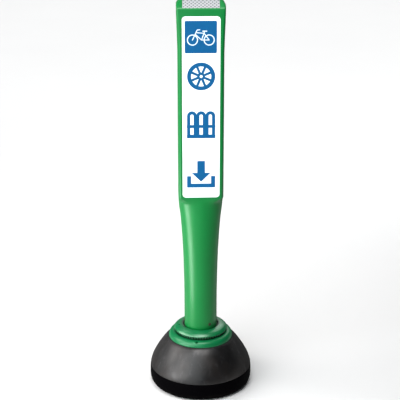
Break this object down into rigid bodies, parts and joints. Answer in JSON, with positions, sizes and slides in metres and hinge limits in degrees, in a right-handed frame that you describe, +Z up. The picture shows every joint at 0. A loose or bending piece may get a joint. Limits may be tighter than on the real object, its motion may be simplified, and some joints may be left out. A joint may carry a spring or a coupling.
{
  "type": "delineator post",
  "caption": "Free-standing post with a flat sign face, reflective roof strips and a threaded foot collar on a ballasted dome base.",
  "frame": {"origin": "on the post's axis at floor level, under the rubber feet", "axes": "+Z up along the post, -Y out of the front sign, +X to the right of a viewer facing the front sign"},
  "size_m": [0.2538, 0.2538, 0.957],
  "materials": {
    "green_plastic": "blow-moulded green polyethylene, satin",
    "plug_plastic": "moulded green plastic",
    "collar_plastic": "moulded green plastic, satin",
    "ring_plastic": "moulded green plastic, satin",
    "gasket_rubber": "black rubber",
    "zinc_steel": "zinc-plated steel",
    "sign_sheet": "white plastic sheet with blue print",
    "reflective_sheet": "silver retroreflective sheet",
    "shell_plastic": "black plastic, semi-gloss",
    "tray_plastic": "black plastic, matt",
    "concrete": "cast concrete",
    "foot_rubber": "black rubber"
  },
  "bodies": {
    "base": {"base_shell": "shell_plastic", "base_tray": "tray_plastic", "ballast": "concrete", "base_ring": "ring_plastic", "ring_screw_1": "zinc_steel", "ring_screw_2": "zinc_steel", "ring_screw_3": "zinc_steel", "foot_1": "foot_rubber", "foot_2": "foot_rubber", "foot_3": "foot_rubber", "foot_4": "foot_rubber", "tie_bolt": "zinc_steel", "tie_nut": "zinc_steel", "socket_washer": "zinc_steel", "nut_washer": "zinc_steel"},
    "post": {"post_shell": "green_plastic", "foot_plug": "plug_plastic", "foot_gasket": "gasket_rubber", "post_screw_1": "zinc_steel", "post_screw_2": "zinc_steel", "post_screw_3": "zinc_steel", "front_sign": "sign_sheet", "rear_sign": "sign_sheet", "front_reflector": "reflective_sheet", "rear_reflector": "reflective_sheet"},
    "collar": {"lock_collar": "collar_plastic"}
  },
  "joints": [
    {"name": "post_rise", "type": "slide", "parent": "base", "child": "post", "axis": [0, 0, 1], "range_m": [0, 0.012]},
    {"name": "collar_turn", "type": "hinge", "parent": "post", "child": "collar", "pos_m": [0, 0, 0.1399], "axis": [0, 0, 1], "range_deg": [0, 360]}
  ],
  "couplings": [
    {"joint": "post_rise", "follows": "collar_turn", "m_per_rad": 0.0019098}
  ]
}
